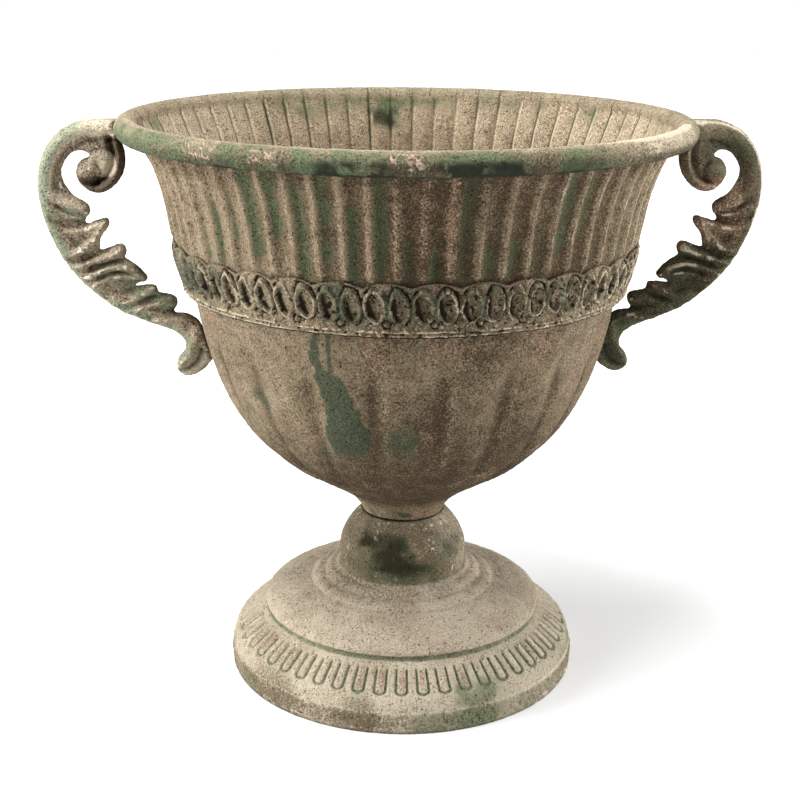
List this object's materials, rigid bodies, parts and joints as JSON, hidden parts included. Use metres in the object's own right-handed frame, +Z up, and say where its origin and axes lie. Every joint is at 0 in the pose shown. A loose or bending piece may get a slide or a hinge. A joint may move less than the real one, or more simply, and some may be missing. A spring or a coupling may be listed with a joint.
{
  "type": "two-handled garden urn",
  "caption": "Footed garden urn with a fluted collar, rolled rim, ornament band, lobed bowl, ball-and-dome pedestal and two cast scroll handles.",
  "frame": {"origin": "centre of the foot on the floor", "axes": "+Z up, +X along the line of the two handles, -Y the side that faces the picture's camera"},
  "size_m": [0.511, 0.4, 0.4115],
  "materials": {
    "aged_paint": "rough sandy beige-brown paint, pitted, with verdigris showing through",
    "band_paint": "rough beige paint with dark green recesses",
    "pale_paint": "pale sandy paint, pitted, green in the grooves",
    "cast_paint": "pale green and brown weathered paint on a casting",
    "steel": "dull zinc plating",
    "gasket_rubber": "matt"
  },
  "bodies": {
    "root": {"upper_wall": "aged_paint", "lower_bowl": "aged_paint", "ornament_band": "band_paint", "pedestal_dome": "pale_paint", "foot_ring": "pale_paint", "handle_left": "cast_paint", "handle_right": "cast_paint", "tie_bolt": "steel", "bowl_gasket": "gasket_rubber", "bowl_washer": "steel", "pedestal_washer": "steel", "tie_nut": "steel", "handle_screw_left": "steel", "handle_screw_right": "steel", "screw_washer_left": "steel", "screw_washer_right": "steel"}
  },
  "joints": []
}
